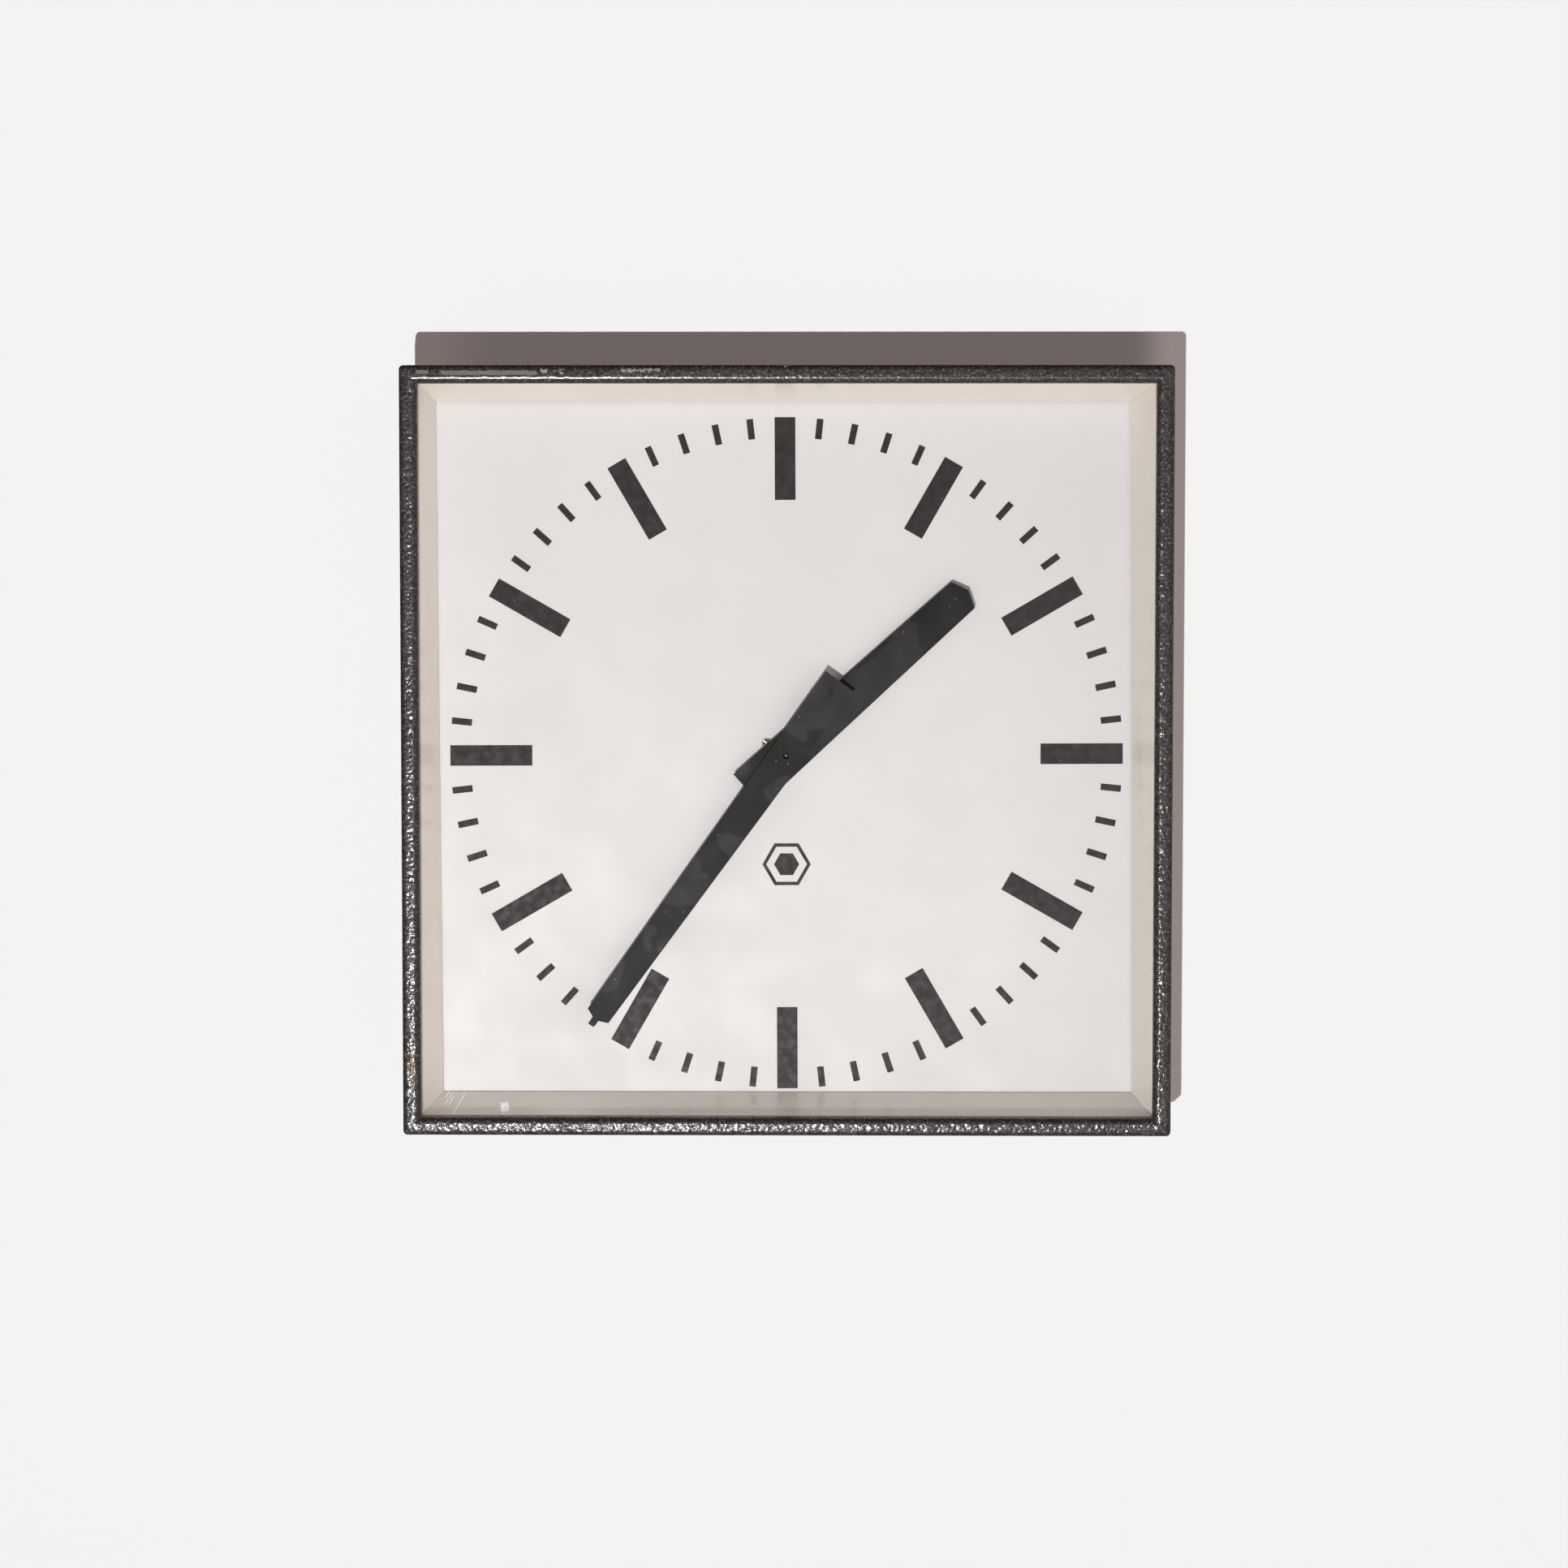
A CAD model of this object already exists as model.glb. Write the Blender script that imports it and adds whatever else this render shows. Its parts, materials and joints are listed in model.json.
import json
import math

import bmesh
import bpy
from mathutils import Matrix, Vector


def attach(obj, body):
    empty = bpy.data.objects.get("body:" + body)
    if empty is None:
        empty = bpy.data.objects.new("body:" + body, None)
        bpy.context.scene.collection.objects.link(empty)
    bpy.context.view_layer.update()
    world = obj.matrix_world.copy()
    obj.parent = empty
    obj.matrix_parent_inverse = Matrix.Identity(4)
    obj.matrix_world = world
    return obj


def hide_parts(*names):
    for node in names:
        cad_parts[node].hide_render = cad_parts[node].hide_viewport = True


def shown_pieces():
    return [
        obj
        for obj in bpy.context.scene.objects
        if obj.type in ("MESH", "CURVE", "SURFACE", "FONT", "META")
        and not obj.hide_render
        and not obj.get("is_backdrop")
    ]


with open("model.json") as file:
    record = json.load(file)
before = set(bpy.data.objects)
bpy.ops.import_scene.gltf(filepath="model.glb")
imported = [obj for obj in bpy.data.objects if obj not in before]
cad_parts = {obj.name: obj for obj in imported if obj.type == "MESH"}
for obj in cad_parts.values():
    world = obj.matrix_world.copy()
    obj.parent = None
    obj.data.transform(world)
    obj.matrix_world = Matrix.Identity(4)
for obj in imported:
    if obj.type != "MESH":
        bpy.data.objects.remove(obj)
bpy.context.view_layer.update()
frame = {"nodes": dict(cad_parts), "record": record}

# Lengths are in metres and MM turns millimetres into metres. x is to the reader's right, z is up
# and the height off the wall is -y.
MM = 0.001

# Front frame, as in the CAD
FRAME_HALF = 220.0
FRAME_REAR = 58.0
FRAME_CREST = 80.0
BAND = 10.5
SHEET = 1.2
CROWN = 5.6
CROWN_RADIUS = 45.0
OUTER_EDGE_RADIUS = 2.8
INNER_EDGE_RADIUS = 3.8
RETURN_LOW = 74.2
CORNER_RADIUS = 2.6
INNER_CORNER_RADIUS = 0.35
CORNER_STEPS = 6
ARC_STEPS = 6

# Hands, as in the CAD. An outline holds (distance from the arbor, half width).
DIAL_DROP = 3.5
DIAL_OFFSET = 0.65
HAND_T = 0.8
HAND_EDGE = 0.13
CREASE_SLOPE = 0.9 / 10.05
CREASE_START = 8.0
CREASE_FULL = 19.0
MINUTE_ANGLE = 215.78
HOUR_ANGLE = 47.78
MINUTE_LIFT = 51.0
HOUR_LIFT = 45.5
MINUTE_BORE = 1.85
HOUR_BORE = 2.83
MINUTE_OUTLINE = [(-53.0, 10.05), (186.0, 7.35), (188.3, 1.9), (192.0, 1.9)]
HOUR_OUTLINE = [(-30.0, 12.3), (137.6, 10.1), (141.6, 0.3)]
# The bright tip of the centre arbor
TIP_RADIUS = 0.45
TIP_LOW = 49.3


# ------------------------------------------------------------------ shader helpers

class Shader:
    """A material under construction. Its methods add shader nodes and wire them up."""

    def __init__(self, name):
        self.material = bpy.data.materials.new(name)
        self.material.use_nodes = True
        self.tree = self.material.node_tree
        self.tree.nodes.clear()
        self.output = self.tree.nodes.new("ShaderNodeOutputMaterial")
        self.place = self.add("ShaderNodeTexCoord").outputs["Object"]

    def feed(self, socket, value):
        if isinstance(value, bpy.types.NodeSocket):
            self.tree.links.new(value, socket)
        else:
            socket.default_value = value

    def add(self, kind, settings=None, inputs=None):
        node = self.tree.nodes.new(kind)
        for key, value in (settings or {}).items():
            setattr(node, key, value)
        for key, value in (inputs or {}).items():
            self.feed(node.inputs[key], value)
        return node

    def math(self, operation, first, second=0.0, third=0.0):
        node = self.add("ShaderNodeMath", {"operation": operation})
        for socket, value in zip(node.inputs, (first, second, third)):
            self.feed(socket, value)
        return node.outputs[0]

    def axes(self):
        """The x, y and z of the place on the object, as three sockets."""
        return self.add("ShaderNodeSeparateXYZ", inputs={"Vector": self.place}).outputs

    def stretched(self, scale, turn=(0.0, 0.0, 0.0)):
        """The place on the object, turned and then scaled along each axis."""
        inputs = {"Vector": self.place, "Scale": scale, "Rotation": turn}
        return self.add("ShaderNodeMapping", inputs=inputs).outputs[0]

    def noise(self, scale, detail=2.0, rough=0.5, warp=0.0, place=None):
        inputs = {
            "Vector": place or self.place,
            "Scale": scale,
            "Detail": detail,
            "Roughness": rough,
            "Distortion": warp,
        }
        return self.add("ShaderNodeTexNoise", inputs=inputs).outputs[0]

    def cells(self, scale, feature="F1", smooth=0.0, output="Distance", place=None):
        inputs = {"Vector": place or self.place, "Scale": scale}
        node = self.add("ShaderNodeTexVoronoi", {"feature": feature}, inputs)
        if feature == "SMOOTH_F1":
            node.inputs["Smoothness"].default_value = smooth
        return node.outputs[output]

    def span(self, value, low, high, to_low=0.0, to_high=1.0):
        """value eased from low..high to to_low..to_high."""
        inputs = {"Value": value, "From Min": low, "From Max": high}
        inputs.update({"To Min": to_low, "To Max": to_high})
        return self.add("ShaderNodeMapRange", {"interpolation_type": "SMOOTHSTEP"}, inputs).outputs[0]

    def window(self, value, low, high, soft):
        """1 where value lies between low and high, easing to 0 within soft of them."""
        rise = self.span(value, low - soft, low + soft)
        fall = self.span(value, high - soft, high + soft, 1.0, 0.0)
        return self.math("MULTIPLY", rise, fall)

    def blend(self, factor, first, second):
        node = self.add("ShaderNodeMix", {"data_type": "RGBA"})
        self.feed(node.inputs[0], factor)
        self.feed(node.inputs[6], first)
        self.feed(node.inputs[7], second)
        return node.outputs[2]

    def bump(self, height, distance, strength=1.0, normal=None):
        inputs = {"Height": height, "Distance": distance, "Strength": strength}
        if normal:
            inputs["Normal"] = normal
        return self.add("ShaderNodeBump", inputs=inputs).outputs[0]

    def surface(self, inputs):
        node = self.add("ShaderNodeBsdfPrincipled", inputs=inputs)
        self.tree.links.new(node.outputs[0], self.output.inputs["Surface"])
        return self.material


def rgb(red, green, blue):
    return (red, green, blue, 1.0)


# ------------------------------------------------------------------ materials

# Worn places on the front frame, in millimetres: x from, x to, z from, z to. Only the face is
# worn, which lies above WORN_LOW.
WORN_LOW = 77.5
RUBBED_STREAKS = [(-196, -141, 214.4, 216.8), (-210, -203, 215, 217)]
CHIPPED_PLACES = [
    (-140, -135, 215, 218.5),
    (-129, -126, 214, 218),
    (-94, -71, 215.5, 218.3),
    (-221, -219.2, 120, 216),
    (214, 216, -126, -123),
    (-2, 3, 218.5, 221),
]
RUSTY_PLACES = [(-216, -213.4, -189, -168)]
# Along the upper bar's inner edge the paint ran together: it lies smooth and glossy there.
POOLED_LOW = 209.5
POOLED_HIGH = 213.2
POOLED_CALM = 0.8
POOLED_COAT = 1.0
PAINT_COAT = 0.55
PAINT_METAL = 0.8
DIMPLE_DEPTH = 0.24
FINE_DEPTH = 0.10


def worn_mask(shader, places, soft, threshold, grain):
    """Patches inside the given rectangles of the frame's face, broken up by noise."""
    x, y, z = shader.axes()
    face = shader.span(y, -WORN_LOW * MM, -(WORN_LOW + 1.0) * MM)
    grit = shader.math("MULTIPLY", shader.noise(grain, 3.0, 0.6), face)
    total = 0.0
    for x_low, x_high, z_low, z_high in places:
        across = shader.window(x, x_low * MM, x_high * MM, soft * MM)
        along = shader.window(z, z_low * MM, z_high * MM, soft * MM)
        patch = shader.math("MULTIPLY", across, along)
        total = shader.math("MAXIMUM", patch, total)
    broken = shader.math("MULTIPLY", total, grit)
    return shader.span(broken, threshold, threshold + 0.06)


def hammered_paint(name, worn):
    """Dark grey metallic enamel with a hammered skin, chipped and rubbed where it was handled."""
    shader = Shader(name)
    warp = shader.noise(280.0, 2.0)
    cell = shader.cells(400.0, "SMOOTH_F1", 0.3)
    dimples = shader.math("ADD", cell, shader.math("MULTIPLY", warp, 0.8))
    fine = shader.noise(800.0, 2.0, 0.6)
    strength = 1.0
    if worn:
        x, y, z = shader.axes()
        pooled = shader.window(z, POOLED_LOW * MM, POOLED_HIGH * MM, 0.5 * MM)
        strength = shader.math("SUBTRACT", 1.0, shader.math("MULTIPLY", pooled, POOLED_CALM))
    relief = shader.bump(dimples, DIMPLE_DEPTH * MM, strength)
    relief = shader.bump(fine, FINE_DEPTH * MM, strength, relief)
    flake = shader.span(shader.noise(750.0, 2.0), 0.54, 0.66)
    cloud = shader.span(shader.noise(45.0, 3.0), 0.3, 0.7)
    hollow = shader.span(dimples, 0.5, 1.2)
    base = shader.blend(cloud, rgb(0.022, 0.020, 0.020), rgb(0.032, 0.029, 0.029))
    base = shader.blend(hollow, base, rgb(0.050, 0.046, 0.046))
    base = shader.blend(flake, base, rgb(0.15, 0.14, 0.137))
    rough = shader.span(fine, 0.3, 0.7, 0.52, 0.64)
    metallic = PAINT_METAL
    coat = PAINT_COAT
    if worn:
        rub = worn_mask(shader, RUBBED_STREAKS, 0.9, 0.22, 420.0)
        chip = worn_mask(shader, CHIPPED_PLACES, 0.8, 0.44, 700.0)
        rust = worn_mask(shader, RUSTY_PLACES, 1.0, 0.46, 500.0)
        base = shader.blend(rub, base, rgb(0.17, 0.145, 0.125))
        base = shader.blend(chip, base, rgb(0.33, 0.28, 0.24))
        base = shader.blend(rust, base, rgb(0.42, 0.24, 0.13))
        bare = shader.math("MAXIMUM", shader.math("MAXIMUM", chip, rub), rust)
        metallic = shader.math("SUBTRACT", PAINT_METAL, shader.math("MULTIPLY", bare, 0.7))
        coat = shader.math("MULTIPLY_ADD", pooled, POOLED_COAT - PAINT_COAT, PAINT_COAT)
        coat = shader.math("SUBTRACT", coat, shader.math("MULTIPLY", bare, 0.9 * PAINT_COAT))
        rough = shader.math("MAXIMUM", rough, shader.math("MULTIPLY", bare, 0.65))
    return shader.surface({
        "Base Color": base,
        "Roughness": rough,
        "Metallic": metallic,
        "Coat Weight": coat,
        "Coat Roughness": 0.15,
        "Normal": relief,
        "Coat Normal": relief,
    })


def specks(shader, scale, size, density):
    """Sparse round dots: about one cell in every 1/density holds one."""
    distance = shader.cells(scale)
    dot = shader.span(distance, size * 0.6, size, 1.0, 0.0)
    pick = shader.add("ShaderNodeSeparateColor", inputs={"Color": shader.cells(scale, output="Color")})
    kept = shader.math("LESS_THAN", pick.outputs[0], density)
    return shader.math("MULTIPLY", dot, kept)


def dial_enamel(name):
    """Satin white enamel with faint yellowed clouds and a few specks."""
    shader = Shader(name)
    cloud = shader.span(shader.noise(9.0, 4.0, 0.55), 0.3, 0.7)
    base = shader.blend(cloud, rgb(0.785, 0.775, 0.792), rgb(0.805, 0.795, 0.812))
    dirt = specks(shader, 95.0, 0.05, 0.10)
    base = shader.blend(shader.math("MULTIPLY", dirt, 0.5), base, rgb(0.32, 0.27, 0.22))
    rough = shader.span(shader.noise(30.0, 3.0), 0.3, 0.7, 0.42, 0.50)
    relief = shader.bump(shader.noise(220.0, 2.0), 0.01 * MM, 0.5)
    return shader.surface({"Base Color": base, "Roughness": rough, "Normal": relief})


def dial_print(name):
    """Black dial print with pinholes."""
    shader = Shader(name)
    cloud = shader.span(shader.noise(60.0, 3.0), 0.3, 0.7)
    base = shader.blend(cloud, rgb(0.0165, 0.0122, 0.0122), rgb(0.0215, 0.0165, 0.0165))
    pinholes = specks(shader, 260.0, 0.10, 0.12)
    base = shader.blend(shader.math("MULTIPLY", pinholes, 0.6), base, rgb(0.4, 0.38, 0.36))
    rough = shader.span(shader.noise(200.0, 2.0), 0.3, 0.7, 0.45, 0.6)
    inputs = {"Base Color": base, "Roughness": rough, "Specular IOR Level": 0.3}
    return shader.surface(inputs)


def reveal_enamel(name):
    """Cream enamel with a soft gloss, a little streaky along its length."""
    shader = Shader(name)
    cloud = shader.span(shader.noise(22.0, 4.0, 0.6), 0.3, 0.7)
    base = shader.blend(cloud, rgb(0.84, 0.78, 0.713), rgb(0.87, 0.815, 0.753))
    grime = specks(shader, 120.0, 0.06, 0.12)
    base = shader.blend(shader.math("MULTIPLY", grime, 0.5), base, rgb(0.25, 0.2, 0.15))
    rough = shader.span(shader.noise(40.0, 3.0), 0.3, 0.7, 0.20, 0.27)
    relief = shader.bump(shader.noise(150.0, 2.0), 0.02 * MM, 0.5)
    return shader.surface({"Base Color": base, "Roughness": rough, "Normal": relief})


def hand_paint(name):
    """Satin black paint on sheet, with dust specks and faint rubbed patches."""
    shader = Shader(name)
    broad = shader.span(shader.noise(26.0, 3.0, 0.5, 0.5), 0.50, 0.525)
    patch = shader.span(shader.noise(40.0, 4.0, 0.6, 0.6), 0.40, 0.66)
    wiped = shader.math("ADD", shader.math("MULTIPLY", broad, 0.6), shader.math("MULTIPLY", patch, 0.4))
    base = shader.blend(wiped, rgb(0.004, 0.003, 0.003), rgb(0.020, 0.016, 0.0165))
    dust = specks(shader, 300.0, 0.13, 0.22)
    base = shader.blend(shader.math("MULTIPLY", dust, 0.7), base, rgb(0.34, 0.33, 0.31))
    rough = shader.span(wiped, 0.0, 1.0, 0.60, 0.52)
    relief = shader.bump(shader.noise(900.0, 2.0), 0.012 * MM, 0.5)
    inputs = {"Base Color": base, "Roughness": rough, "Specular IOR Level": 0.3, "Normal": relief}
    return shader.surface(inputs)


GLASS_INDEX = 1.45
# The smear on the glass, in millimetres: x from, x to, z from, z to.
SMEAR = (-164.2, -160.0, -206.8, -202.0)
MARK_WEIGHT = 0.55
# Scratches on the glass, in millimetres: place across them, then their start and end. They are
# parallel and lean to the right.
SCRATCH_TURN = math.radians(-29)
SCRATCH_HALF = 0.12
SCRATCHES = [
    (-73.0, -273.5, -264.5),
    (-71.2, -272.0, -266.0),
    (-75.0, -270.0, -262.0),
    (-66.4, -275.5, -262.0),
    (-41.3, -262.5, -258.5),
]


def window_glass(name):
    """Clear glass that lets light through, with hairline scratches and a smear low on the left."""
    shader = Shader(name)
    x, y, z = shader.axes()
    x_low, x_high, z_low, z_high = SMEAR
    across = shader.window(x, x_low * MM, x_high * MM, 1.0 * MM)
    smear = shader.math("MULTIPLY", across, shader.window(z, z_low * MM, z_high * MM, 1.0 * MM))
    marks = shader.math("MULTIPLY", smear, shader.span(shader.noise(500.0, 2.0), 0.3, 0.6))
    turned = shader.add("ShaderNodeSeparateXYZ", inputs={
        "Vector": shader.stretched((1.0, 1.0, 1.0), (0.0, SCRATCH_TURN, 0.0)),
    }).outputs
    for side, low, high in SCRATCHES:
        left = (side - SCRATCH_HALF) * MM
        right = (side + SCRATCH_HALF) * MM
        thin = shader.window(turned[0], left, right, SCRATCH_HALF * MM)
        line = shader.math("MULTIPLY", thin, shader.window(turned[2], low * MM, high * MM, 1.5 * MM))
        marks = shader.math("MAXIMUM", marks, line)
    clear = shader.add("ShaderNodeBsdfTransparent", inputs={"Color": rgb(0.985, 0.99, 0.987)})
    gloss = shader.add("ShaderNodeBsdfGlossy", inputs={"Roughness": 0.02})
    haze = shader.add("ShaderNodeBsdfDiffuse", inputs={"Color": rgb(0.9, 0.9, 0.9)})
    leaving = shader.add("ShaderNodeNewGeometry").outputs["Backfacing"]
    index = shader.math("MULTIPLY_ADD", leaving, 1 / GLASS_INDEX - GLASS_INDEX, GLASS_INDEX)
    shine = shader.add("ShaderNodeFresnel", inputs={"IOR": index})
    pane = shader.add("ShaderNodeMixShader")
    shader.feed(pane.inputs[0], shine.outputs[0])
    shader.feed(pane.inputs[1], clear.outputs[0])
    shader.feed(pane.inputs[2], gloss.outputs[0])
    marked = shader.add("ShaderNodeMixShader")
    shading = shader.add("ShaderNodeLightPath").outputs["Is Shadow Ray"]
    unshaded = shader.math("MAXIMUM", shader.math("SUBTRACT", marks, shading), 0.0)
    shader.feed(marked.inputs[0], shader.math("MULTIPLY", unshaded, MARK_WEIGHT))
    shader.feed(marked.inputs[1], pane.outputs[0])
    shader.feed(marked.inputs[2], haze.outputs[0])
    shader.tree.links.new(marked.outputs[0], shader.output.inputs["Surface"])
    return shader.material


def worked(name, dark, light, grain, rough, metallic, relief, stretch):
    """A general finish: two close colours mixed by grain, uneven gloss and a light relief."""
    shader = Shader(name)
    place = shader.stretched(stretch)
    grainy = shader.span(shader.noise(grain, 4.0, 0.6, place=place), 0.3, 0.7)
    cloud = shader.noise(grain * 0.15, 3.0)
    base = shader.blend(grainy, rgb(*dark), rgb(*light))
    rough_map = shader.span(cloud, 0.3, 0.7, rough * 0.8, min(rough * 1.2, 1.0))
    inputs = {"Base Color": base, "Roughness": rough_map, "Metallic": metallic}
    if relief:
        inputs["Normal"] = shader.bump(grainy, relief * MM, 0.6)
    return shader.surface(inputs)


def centre_steel(name):
    """Blackened steel round the dial's centre, with only the arbor's fine tip left bright."""
    shader = Shader(name)
    x, y, z = shader.axes()
    grain = shader.span(shader.noise(600.0, 3.0), 0.3, 0.7)
    base = shader.blend(grain, rgb(0.006, 0.006, 0.006), rgb(0.012, 0.011, 0.011))
    across = shader.math("ADD", x, DIAL_OFFSET * MM)
    above = shader.math("ADD", z, DIAL_DROP * MM)
    across_squared = shader.math("MULTIPLY", across, across)
    above_squared = shader.math("MULTIPLY", above, above)
    distance = shader.math("SQRT", shader.math("ADD", across_squared, above_squared))
    near = shader.math("LESS_THAN", distance, TIP_RADIUS * MM)
    raised = shader.math("LESS_THAN", y, -TIP_LOW * MM)
    tip = shader.math("MULTIPLY", near, raised)
    base = shader.blend(tip, base, rgb(0.5, 0.5, 0.49))
    rough = shader.span(grain, 0.0, 1.0, 0.55, 0.65)
    inputs = {"Base Color": base, "Roughness": rough, "Metallic": tip, "Specular IOR Level": 0.2}
    return shader.surface(inputs)


# Plain finishes: dark and light colour, grain, roughness, metallic, relief in mm, stretch of the grain.
EVEN = (1.0, 1.0, 1.0)
DRAWN = (1.0, 1.0, 0.06)
LAMINATED = (1, 9, 1)
WOUND = (9, 1, 1)
PLAIN_FINISHES = {
    "rubber": ((0.012, 0.012, 0.012), (0.024, 0.023, 0.022), 700, 0.75, 0.0, 0.03, EVEN),
    "zinc": ((0.42, 0.42, 0.41), (0.60, 0.60, 0.57), 300, 0.42, 1.0, 0.01, EVEN),
    "screw_nickel": ((0.50, 0.46, 0.40), (0.66, 0.62, 0.54), 900, 0.28, 1.0, 0.01, EVEN),
    "brass_part": ((0.60, 0.42, 0.16), (0.78, 0.58, 0.26), 500, 0.30, 1.0, 0.006, DRAWN),
    "steel_part": ((0.48, 0.48, 0.49), (0.62, 0.62, 0.63), 800, 0.25, 1.0, 0.004, DRAWN),
    "iron_core": ((0.20, 0.20, 0.20), (0.32, 0.31, 0.30), 500, 0.5, 1.0, 0.01, LAMINATED),
    "magnet_dark": ((0.05, 0.05, 0.05), (0.10, 0.10, 0.10), 700, 0.55, 0.4, 0.02, EVEN),
    "bobbin_plastic": ((0.55, 0.46, 0.28), (0.66, 0.57, 0.38), 120, 0.45, 0.0, 0.0, EVEN),
    "copper_wire": ((0.36, 0.13, 0.05), (0.58, 0.24, 0.10), 900, 0.32, 0.85, 0.05, WOUND),
    "lead_red": ((0.36, 0.025, 0.02), (0.46, 0.04, 0.03), 300, 0.4, 0.0, 0.0, EVEN),
    "terminal_plastic": ((0.62, 0.57, 0.45), (0.72, 0.67, 0.55), 150, 0.35, 0.0, 0.0, EVEN),
}


def make_materials():
    """One material for each of the record's slots."""
    made = {
        "case_paint": hammered_paint("case_paint", False),
        "frame_paint": hammered_paint("frame_paint", True),
        "dial_white": dial_enamel("dial_white"),
        "print_black": dial_print("print_black"),
        "reveal_cream": reveal_enamel("reveal_cream"),
        "hand_black": hand_paint("hand_black"),
        "clear_glass": window_glass("clear_glass"),
        "blackened_steel": centre_steel("blackened_steel"),
    }
    for name, finish in PLAIN_FINISHES.items():
        made[name] = worked(name, *finish)
    return made


# ------------------------------------------------------------------ meshes

def arc(mid_x, mid_h, radius, start, end):
    """Points of an arc in degrees, from start to end."""
    points = []
    for step in range(ARC_STEPS + 1):
        angle = math.radians(start + (end - start) * step / ARC_STEPS)
        points.append((mid_x + radius * math.cos(angle), mid_h + radius * math.sin(angle)))
    return points


def crown_tilt(inset_from_crest, edge_radius):
    """Degrees by which the crown has turned where an edge arc takes over from it."""
    return math.degrees(math.asin((inset_from_crest - edge_radius) / (CROWN_RADIUS - edge_radius)))


def face_line(skin):
    """The frame's face in section, pulled in by skin, from its outer side to its inner edge."""
    crown_h = FRAME_CREST - CROWN_RADIUS
    out = crown_tilt(CROWN, OUTER_EDGE_RADIUS)
    inn = crown_tilt(BAND - CROWN, INNER_EDGE_RADIUS)
    out_h = crown_h + (CROWN_RADIUS - OUTER_EDGE_RADIUS) * math.cos(math.radians(out))
    inn_h = crown_h + (CROWN_RADIUS - INNER_EDGE_RADIUS) * math.cos(math.radians(inn))
    line = arc(OUTER_EDGE_RADIUS, out_h, OUTER_EDGE_RADIUS - skin, 180, 90 + out)
    line += arc(CROWN, crown_h, CROWN_RADIUS - skin, 90 + out * 0.8, 90 - inn * 0.8)
    line += arc(BAND - INNER_EDGE_RADIUS, inn_h, INNER_EDGE_RADIUS - skin, 90 - inn, 0)
    return line


def frame_section():
    """The frame's sheet in section, once round: (distance in from its outer side, height)."""
    edge = SHEET * 0.3
    section = [(edge, FRAME_REAR), (0.0, FRAME_REAR + edge)]
    section += face_line(0.0)
    section += [(BAND, RETURN_LOW), (BAND - SHEET, RETURN_LOW)]
    section += reversed(face_line(SHEET))
    section += [(SHEET, FRAME_REAR + edge), (SHEET - edge, FRAME_REAR)]
    return section


def square_ring(inset, height):
    """Points round the frame at one inset and height, with small rounded corners."""
    half = FRAME_HALF - inset
    radius = max(CORNER_RADIUS - inset, INNER_CORNER_RADIUS)
    points = []
    for corner in range(4):
        start = math.radians(90 * corner)
        mid_x = (half - radius) * (1 if corner in (0, 3) else -1)
        mid_z = (half - radius) * (1 if corner in (0, 1) else -1)
        for step in range(CORNER_STEPS + 1):
            angle = start + math.radians(90) * step / CORNER_STEPS
            x = mid_x + radius * math.cos(angle)
            z = mid_z + radius * math.sin(angle)
            points.append(Vector((x, -height, z)) * MM)
    return points


def link_mesh(name, verts, faces, sharp_angle):
    """A clean object from points and faces, smooth but for edges sharper than the angle."""
    mesh = bpy.data.meshes.new(name)
    mesh.from_pydata([tuple(v) for v in verts], [], faces)
    sheet = bmesh.new()
    sheet.from_mesh(mesh)
    bmesh.ops.recalc_face_normals(sheet, faces=sheet.faces)
    sheet.to_mesh(mesh)
    sheet.free()
    mesh.shade_smooth()
    mesh.set_sharp_from_angle(angle=math.radians(sharp_angle))
    piece = bpy.data.objects.new(name, mesh)
    bpy.context.scene.collection.objects.link(piece)
    return piece


def loft(name, rings, closed, sharp_angle=40.0):
    """Joins rings of equally many points. closed joins the last ring to the first."""
    size = len(rings[0])
    verts = [point for ring in rings for point in ring]
    faces = []
    for ring in range(len(rings) if closed else len(rings) - 1):
        here = ring * size
        there = (ring + 1) % len(rings) * size
        for k in range(size):
            after = (k + 1) % size
            faces.append((here + k, here + after, there + after, there + k))
    if not closed:
        faces.append(tuple(range(size)))
        faces.append(tuple(range(len(verts) - size, len(verts))))
    return link_mesh(name, verts, faces, sharp_angle)


def make_door_frame():
    rings = [square_ring(inset, height) for inset, height in frame_section()]
    return loft("door_frame_fine", rings, True, 35.0)


def bevel(piece, width, segments=2, angle=30.0):
    modifier = piece.modifiers.new("edge", "BEVEL")
    modifier.width = width * MM
    modifier.segments = segments
    modifier.limit_method = "ANGLE"
    modifier.angle_limit = math.radians(angle)
    modifier.harden_normals = False


def hand_stations(outline):
    """(distance from the arbor, half width) along a hand, with extra places where it bends."""
    places = sorted({y for y, w in outline} | set(range(int(CREASE_START), int(CREASE_FULL) + 1)))
    stations = []
    for y in places:
        for (y0, w0), (y1, w1) in zip(outline, outline[1:]):
            if y0 <= y <= y1:
                stations.append((y, w0 + (w1 - w0) * (y - y0) / (y1 - y0)))
                break
    return stations


def drill(piece, radius, mid, reach):
    """Cuts a round hole along y through a piece."""
    bpy.ops.mesh.primitive_cylinder_add(vertices=40, radius=radius * MM, depth=reach * MM,
                                        location=mid, rotation=(math.radians(90), 0, 0))
    cutter = bpy.context.active_object
    modifier = piece.modifiers.new("bore", "BOOLEAN")
    modifier.object = cutter
    modifier.solver = "EXACT"
    modifier.operation = "DIFFERENCE"
    bpy.context.view_layer.objects.active = piece
    bpy.ops.object.modifier_apply(modifier=modifier.name)
    bpy.data.objects.remove(cutter)


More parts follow.
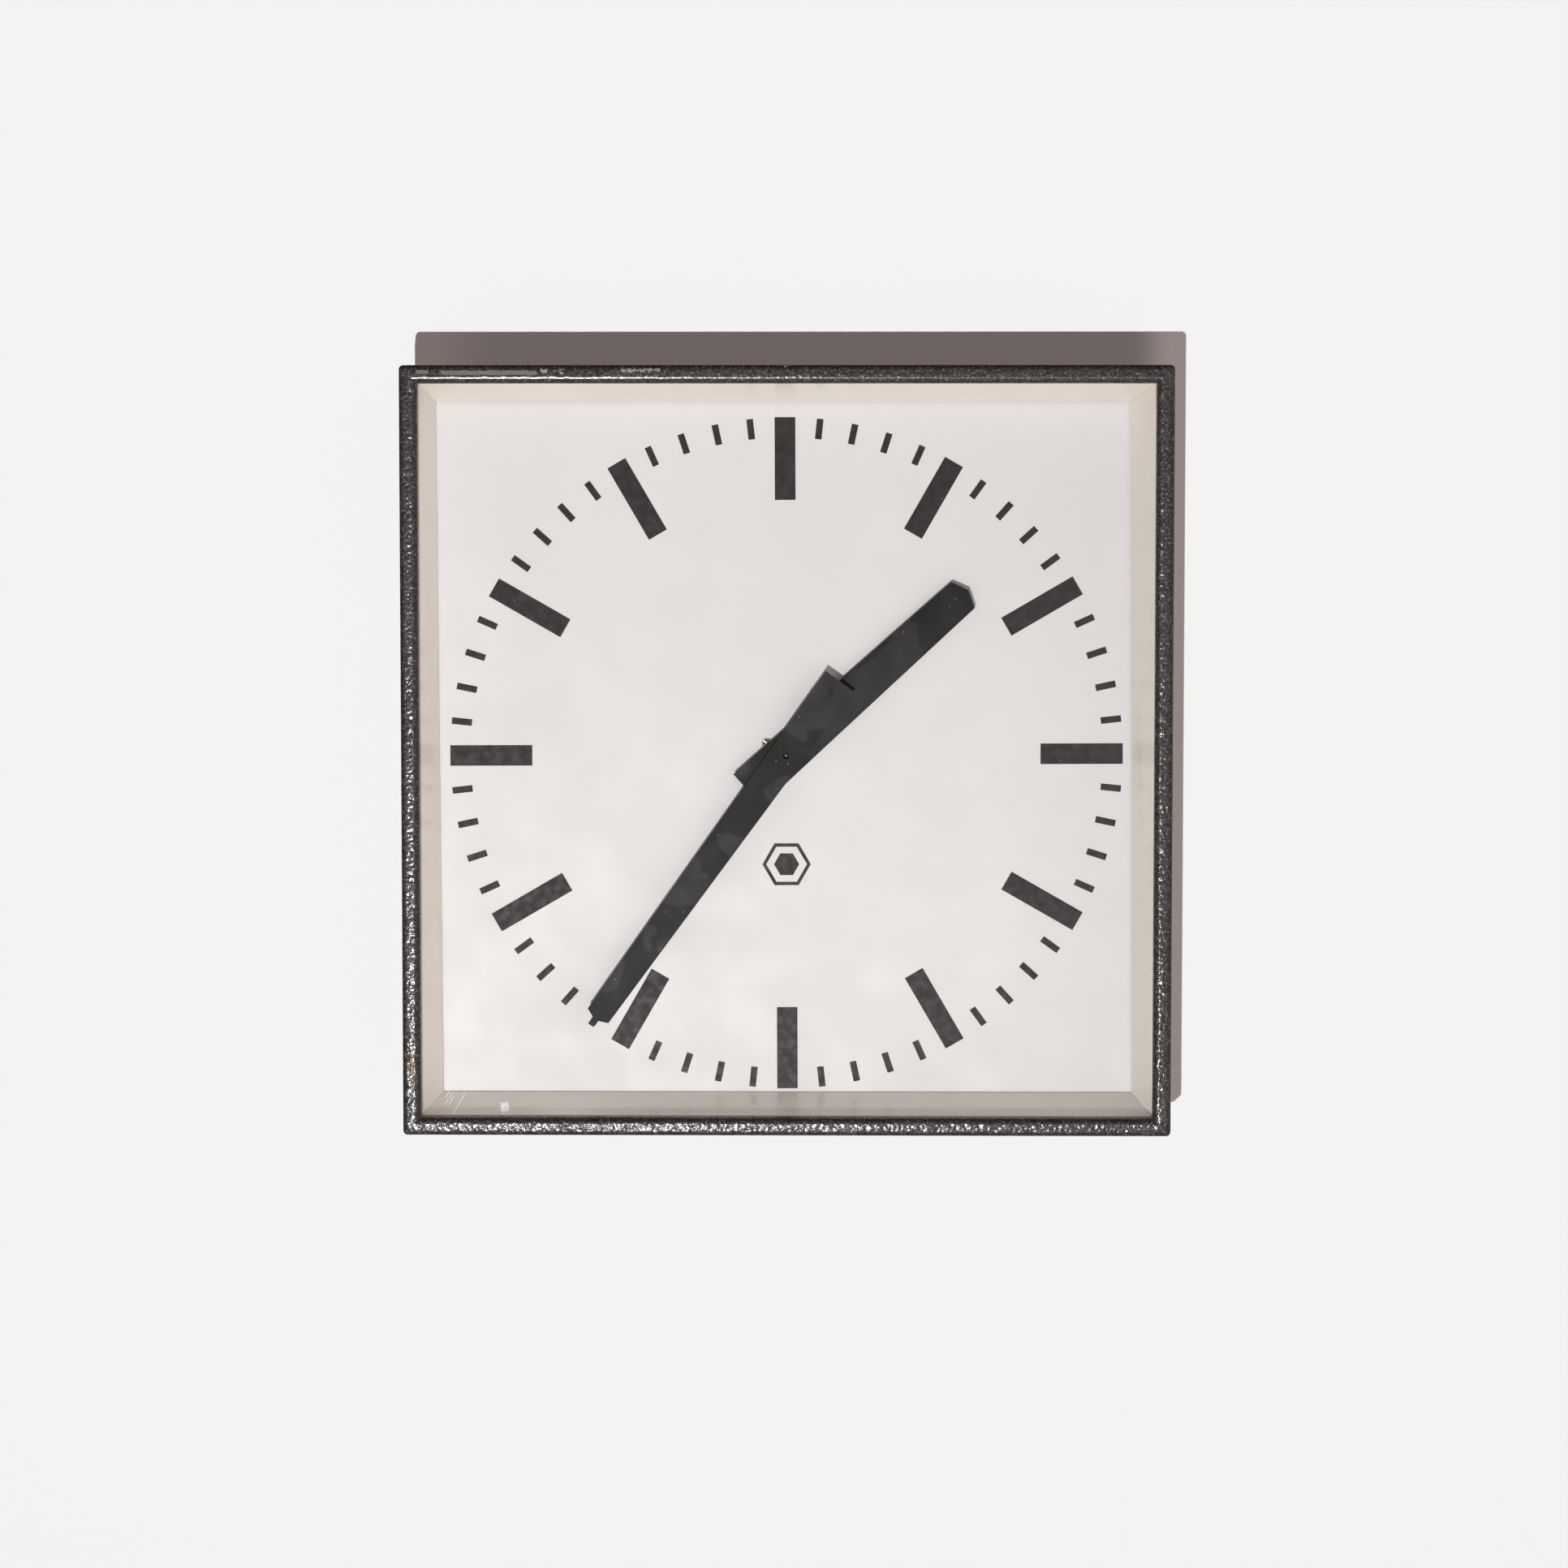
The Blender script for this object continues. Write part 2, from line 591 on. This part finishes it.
def make_hand(name, outline, height, angle, bore):
    """A sheet hand: flat at its tail and hub, and folded to a low ridge beyond the hub."""
    rings = []
    for y, w in hand_stations(outline):
        share = min(max((y - CREASE_START) / (CREASE_FULL - CREASE_START), 0.0), 1.0)
        fall = CREASE_SLOPE * w * share * share * (3 - 2 * share)
        low = [(-w, -fall), (0.0, 0.0), (w, -fall)]
        high = [(x, h + HAND_T) for x, h in reversed(low)]
        rings.append([Vector((x, -height - h, y)) * MM for x, h in low + high])
    hand = loft(name, rings, False, 30.0)
    turn = Matrix.Rotation(math.radians(angle), 4, "Y")
    hand.data.transform(Matrix.Translation((-DIAL_OFFSET * MM, 0, -DIAL_DROP * MM)) @ turn)
    drill(hand, bore, (-DIAL_OFFSET * MM, -height * MM, -DIAL_DROP * MM), 6.0)
    hand.data.set_sharp_from_angle(angle=math.radians(30))
    bevel(hand, HAND_EDGE)
    return hand


# ------------------------------------------------------------------ pieces

def finish_piece(piece, body, slot, stands_for, materials):
    """Gives a made piece its material and ties it to the frame."""
    piece.data.materials.clear()
    piece.data.materials.append(materials[slot])
    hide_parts(stands_for)
    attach(piece, body)


def dress_cad_nodes(materials):
    """Gives every carried-over CAD node the material of its slot in the record."""
    for part in frame["record"]["subparts"]:
        node = frame["nodes"][part["node"]]
        node.data.materials.clear()
        node.data.materials.append(materials[part["material_slot"]])


# Width in millimetres of the rounded edges on the sheet and turned parts that show
EDGE_WIDTHS = {
    "case_back": 0.3,
    "case_walls": 0.25,
    "reveal_top": 0.15,
    "reveal_bottom": 0.15,
    "reveal_left": 0.15,
    "reveal_right": 0.15,
    "movement_screws": 0.12,
    "lock_screw": 0.2,
    "catch_tab": 0.2,
    "terminal_block": 0.4,
    "front_glass": 0.25,
}


def soften_edges():
    for name, width in EDGE_WIDTHS.items():
        bevel(frame["nodes"][name], width)


def make_pieces():
    materials = make_materials()
    dress_cad_nodes(materials)
    soften_edges()
    finish_piece(make_door_frame(), "door", "frame_paint", "door_frame", materials)
    minute = make_hand("minute_hand_fine", MINUTE_OUTLINE, MINUTE_LIFT, MINUTE_ANGLE, MINUTE_BORE)
    finish_piece(minute, "minute", "hand_black", "minute_hand", materials)
    hour = make_hand("hour_hand_fine", HOUR_OUTLINE, HOUR_LIFT, HOUR_ANGLE, HOUR_BORE)
    finish_piece(hour, "hour", "hand_black", "hour_hand", materials)


# ------------------------------------------------------------------ stage, light and camera

WALL_SIZE = 12.0
WALL_GAP = 0.6 * MM
WALL_LIT = (0.913, 0.913, 0.913)
WALL_SHARE = 0.07
GLOW_ABOVE = (0.145, 0.117, 0.110)
GLOW_CORNER = (0.185, 0.147, 0.139)
GLOW_RIGHT = (0.275, 0.227, 0.215)
WALL_LAMP_PLACE = (-0.315, -3.53, -0.724)
WALL_LAMP_ENERGY = 135.0
WALL_LAMP_SIZE = 0.03
KEY_PLACE = (-0.287, -2.607, -0.652)
KEY_ENERGY = 47.0
KEY_SIZE = 0.075
KEY_COLOR = (1.0, 0.985, 0.975)
BACK_PLACE = (1.2, 2.4, 1.2)
BACK_ENERGY = 60.0
BACK_SIZE = 3.2
WHITE = (1.0, 1.0, 1.0)
# Light of the room: from below, from above, from the right, and from the room in front
SKY_LOW = (0.60, 0.53, 0.50)
SKY_HIGH = (0.155, 0.132, 0.123)
SKY_RIGHT = (1.0, 0.89, 0.84)
FRONT_DARK = (0.02, 0.02, 0.02)
FRONT_PALE = (0.36, 0.335, 0.33)
SEEN_SKY = (0.9, 0.9, 0.9)
# Where the camera stands, its pitch down and its turn in degrees, and its lens in millimetres
CAMERA_PLACE = (0.0327, -2.5575, 0.158)
CAMERA_DOWN = 4.057
CAMERA_TURN = 0.788
CAMERA_SENSOR = 36.0
CAMERA_LENS = 100.12


def wall_material():
    """Matt pale wall, evenly lit and seen only from its front, so the clock's back can be looked at.

    Its shading normal points at the wall's lamp. Where it glows more, as to the right of the
    clock, it takes less of the lamp's light, so only its shadowed parts differ.
    """
    shader = Shader("wall")
    spot = shader.add("ShaderNodeNewGeometry")
    x, y, z = shader.add("ShaderNodeSeparateXYZ", inputs={"Vector": spot.outputs["Position"]}).outputs
    glow = shader.blend(shader.span(x, -0.17, -0.21), rgb(*GLOW_ABOVE), rgb(*GLOW_CORNER))
    glow = shader.blend(shader.span(z, 0.24, 0.26), glow, rgb(*GLOW_CORNER))
    glow = shader.blend(shader.span(x, 0.20, 0.225), glow, rgb(*GLOW_RIGHT))
    to_lamp = shader.add("ShaderNodeVectorMath", {"operation": "SUBTRACT"})
    to_lamp.inputs[0].default_value = WALL_LAMP_PLACE
    shader.feed(to_lamp.inputs[1], spot.outputs["Position"])
    rest = shader.add("ShaderNodeVectorMath", {"operation": "SUBTRACT"})
    rest.inputs[0].default_value = WALL_LIT
    shader.feed(rest.inputs[1], glow)
    share = shader.add("ShaderNodeVectorMath", {"operation": "SCALE"})
    shader.feed(share.inputs[0], rest.outputs[0])
    share.inputs["Scale"].default_value = WALL_SHARE
    matt = shader.add("ShaderNodeBsdfDiffuse", inputs={
        "Color": share.outputs[0],
        "Normal": to_lamp.outputs[0],
    })
    lit = shader.add("ShaderNodeAddShader")
    shader.feed(lit.inputs[0], matt.outputs[0])
    shader.feed(lit.inputs[1], shader.add("ShaderNodeEmission", inputs={"Color": glow}).outputs[0])
    clear = shader.add("ShaderNodeBsdfTransparent")
    looked_at = shader.add("ShaderNodeLightPath").outputs["Is Camera Ray"]
    shown = shader.math("SUBTRACT", looked_at, spot.outputs["Backfacing"])
    mix = shader.add("ShaderNodeMixShader")
    shader.feed(mix.inputs[0], shown)
    shader.feed(mix.inputs[1], clear.outputs[0])
    shader.feed(mix.inputs[2], lit.outputs[0])
    shader.tree.links.new(mix.outputs[0], shader.output.inputs["Surface"])
    return shader.material


def make_wall():
    bpy.ops.mesh.primitive_plane_add(size=WALL_SIZE, location=(0, WALL_GAP, 0),
                                     rotation=(math.radians(90), 0, 0))
    wall = bpy.context.active_object
    wall.name = "wall"
    wall.data.materials.append(wall_material())
    wall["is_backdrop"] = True
    return wall


def aim(lamp, target):
    lamp.rotation_mode = "QUATERNION"
    lamp.rotation_quaternion = (Vector(target) - lamp.location).to_track_quat("-Z", "Y")


def add_lamp(name, location, energy, color, settings):
    """An area lamp aimed at the middle of the clock's back."""
    data = bpy.data.lights.new(name, "AREA")
    data.energy = energy
    data.color = color
    for key, value in settings.items():
        setattr(data, key, value)
    lamp = bpy.data.objects.new(name, data)
    bpy.context.scene.collection.objects.link(lamp)
    lamp.location = location
    aim(lamp, (0, 0, 0))
    return lamp


def light_only(lamp, objects):
    """The lamp lights only these objects."""
    group = bpy.data.collections.new(lamp.name + "_lit")
    for item in objects:
        group.objects.link(item)
    lamp.light_linking.receiver_collection = group


def even_out(lamp):
    """Takes a lamp's falloff away, so it lights near and far places alike."""
    lamp.data.use_nodes = True
    tree = lamp.data.node_tree
    emission = tree.nodes["Emission"]
    falloff = tree.nodes.new("ShaderNodeLightFalloff")
    falloff.inputs["Strength"].default_value = 1.0
    tree.links.new(falloff.outputs["Constant"], emission.inputs["Strength"])


def make_lights(wall):
    """The key lights the clock, the wall has its own lamp, and a broad lamp lights the back."""
    key = add_lamp("key", KEY_PLACE, KEY_ENERGY, KEY_COLOR, {"shape": "DISK", "size": KEY_SIZE})
    light_only(key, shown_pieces())
    disk = {"shape": "DISK", "size": WALL_LAMP_SIZE}
    wall_lamp = add_lamp("wall_lamp", WALL_LAMP_PLACE, WALL_LAMP_ENERGY, WHITE, disk)
    even_out(wall_lamp)
    light_only(wall_lamp, [wall])
    back = add_lamp("back_fill", BACK_PLACE, BACK_ENERGY, WHITE, {"size": BACK_SIZE})
    light_only(back, [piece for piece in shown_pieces() if piece.name != "door_frame_fine"])


def make_world():
    """Soft room light: warm, weaker from above, and dark and patchy in front of the clock."""
    world = bpy.data.worlds.new("studio")
    bpy.context.scene.world = world
    world.use_nodes = True
    tree = world.node_tree
    tree.nodes.clear()
    room = Shader.__new__(Shader)
    room.tree = tree
    room.place = room.add("ShaderNodeTexCoord").outputs["Generated"]
    x, y, z = room.axes()
    level = room.blend(room.span(z, -0.6, 0.7), rgb(*SKY_LOW), rgb(*SKY_HIGH))
    level = room.blend(room.span(x, 0.25, 0.85), level, rgb(*SKY_RIGHT))
    ahead = room.span(y, -0.97, -0.86, 1.0, 0.0)
    pale = room.math("MAXIMUM", room.span(z, -0.02, -0.16), room.span(x, 0.0, 0.09, 0.0, 0.7))
    patches = room.span(room.noise(9.0, 1.0), 0.48, 0.52, 0.0, 0.12)
    front = room.blend(room.math("MAXIMUM", pale, patches), rgb(*FRONT_DARK), rgb(*FRONT_PALE))
    color = room.blend(ahead, level, front)
    path = room.add("ShaderNodeLightPath")
    mirrored = room.blend(ahead, room.blend(0.5, level, rgb(0.0, 0.0, 0.0)), front)
    color = room.blend(path.outputs["Is Glossy Ray"], color, mirrored)
    sky = room.add("ShaderNodeBackground", inputs={"Color": color})
    seen = room.add("ShaderNodeBackground", inputs={"Color": rgb(*SEEN_SKY)})
    mix = room.add("ShaderNodeMixShader")
    room.feed(mix.inputs[0], path.outputs["Is Camera Ray"])
    room.feed(mix.inputs[1], sky.outputs[0])
    room.feed(mix.inputs[2], seen.outputs[0])
    output = room.add("ShaderNodeOutputWorld")
    tree.links.new(mix.outputs[0], output.inputs["Surface"])


def make_camera():
    data = bpy.data.cameras.new("camera")
    data.sensor_width = CAMERA_SENSOR
    data.lens = CAMERA_LENS
    camera = bpy.data.objects.new("camera", data)
    bpy.context.scene.collection.objects.link(camera)
    camera.location = CAMERA_PLACE
    camera.rotation_euler = (math.radians(90 - CAMERA_DOWN), 0.0, math.radians(CAMERA_TURN))
    data.clip_start = 0.05
    data.clip_end = 60.0
    bpy.context.scene.camera = camera


def set_view():
    view = bpy.context.scene.view_settings
    view.view_transform = "Standard"
    view.look = "None"
    view.exposure = 0.0
    view.gamma = 1.0


make_pieces()
make_lights(make_wall())
make_world()
make_camera()
set_view()
